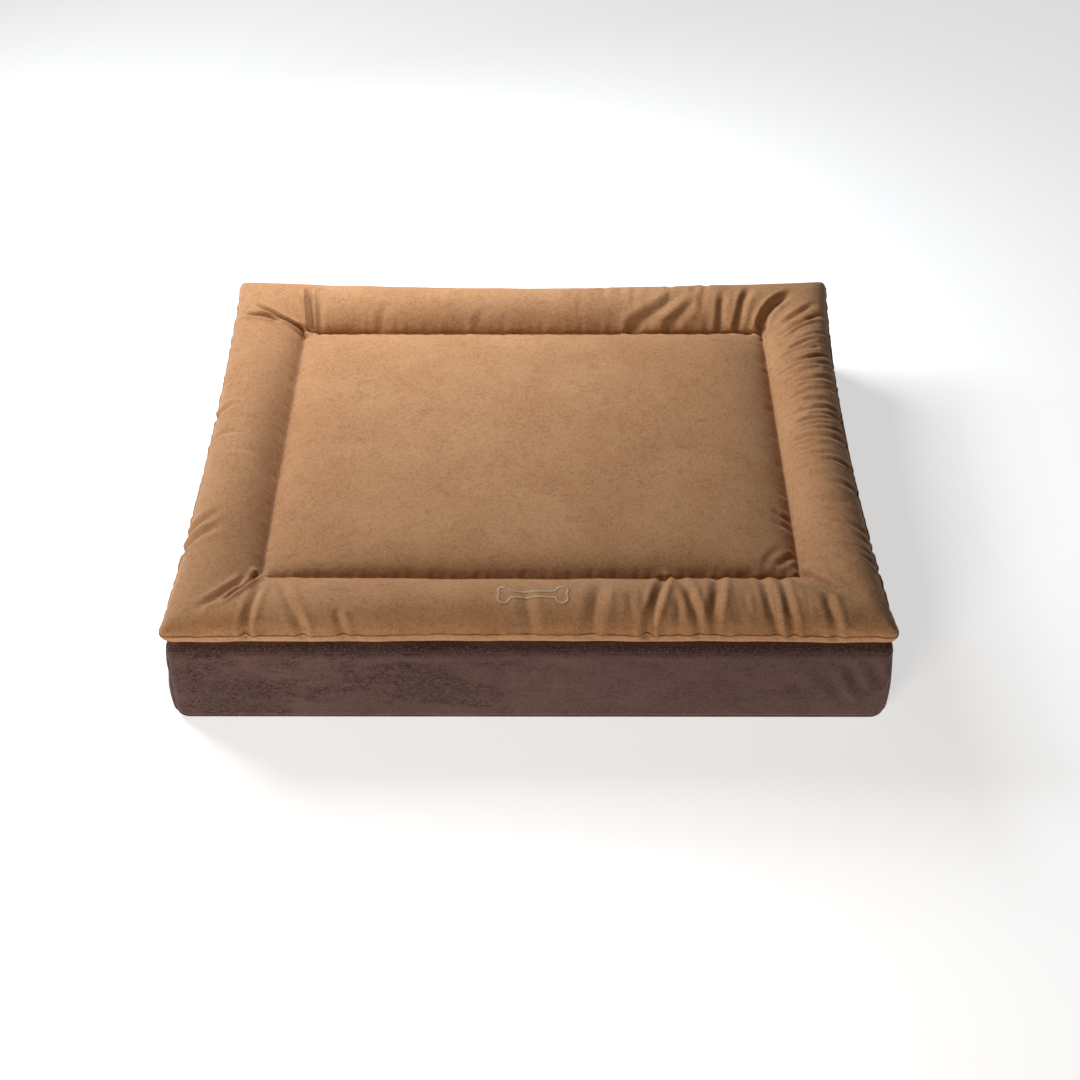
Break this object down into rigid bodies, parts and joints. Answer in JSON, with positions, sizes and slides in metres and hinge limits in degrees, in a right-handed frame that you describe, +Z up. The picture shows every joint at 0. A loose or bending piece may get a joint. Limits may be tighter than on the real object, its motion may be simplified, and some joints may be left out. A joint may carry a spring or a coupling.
{
  "type": "pet cushion bed",
  "caption": "Rectangular pet bed: a thick foam mattress in a zipped velvet cover, under a loose velvet topper with a stuffed raised border around a quilted centre.",
  "frame": {"origin": "middle of the mattress's underside, on the floor", "axes": "+X along the long side, to the right seen from the front; +Y towards the back, where the zip is; +Z up"},
  "size_m": [1.0168, 0.8074, 0.2006],
  "materials": {
    "dark_velvet": "short crushed-pile velvet, purple-brown",
    "tan_velvet": "short-pile velvet, camel tan",
    "upholstery_foam": "open-cell polyurethane foam",
    "polyester_fibre": "loose hollow-fibre filling",
    "tan_thread": "spun polyester sewing thread",
    "embroidery_thread": "satin-stitched rayon thread",
    "zip_tape": "woven polyester tape",
    "zip_coil": "nylon monofilament coil",
    "zip_metal": "die-cast zinc, antique-plated"
  },
  "bodies": {
    "mattress": {"base_foam_core": "upholstery_foam", "base_top_panel": "dark_velvet", "base_bottom_panel": "dark_velvet", "base_front_band": "dark_velvet", "base_left_band": "dark_velvet", "base_right_band": "dark_velvet", "base_back_band_upper": "dark_velvet", "base_back_band_lower": "dark_velvet", "base_bottom_piping": "dark_velvet", "zip_tape_upper": "zip_tape", "zip_tape_lower": "zip_tape", "zip_coil_upper": "zip_coil", "zip_coil_lower": "zip_coil", "zip_end_stop_left": "zip_metal", "zip_end_stop_right": "zip_metal"},
    "zip_slider": {"zip_slider_body": "zip_metal"},
    "zip_pull": {"zip_pull_tab": "zip_metal"},
    "topper": {"topper_top_panel": "tan_velvet", "topper_bottom_panel": "tan_velvet", "topper_centre_filling": "polyester_fibre", "topper_front_filling": "polyester_fibre", "topper_back_filling": "polyester_fibre", "topper_left_filling": "polyester_fibre", "topper_right_filling": "polyester_fibre", "topper_quilting_thread": "tan_thread", "topper_motif_embroidery": "embroidery_thread"}
  },
  "joints": [
    {"name": "topper_lift", "type": "slide", "parent": "mattress", "child": "topper", "axis": [0, 0, 1], "range_m": [0, 0.15]},
    {"name": "zip_slide", "type": "slide", "parent": "mattress", "child": "zip_slider", "axis": [-1, 0, 0], "range_m": [0, 0.8698]},
    {"name": "tab_swing", "type": "hinge", "parent": "zip_slider", "child": "zip_pull", "pos_m": [0.4349, 0.40175, 0.102], "axis": [0, 0, -1], "range_deg": [0, 175]}
  ]
}
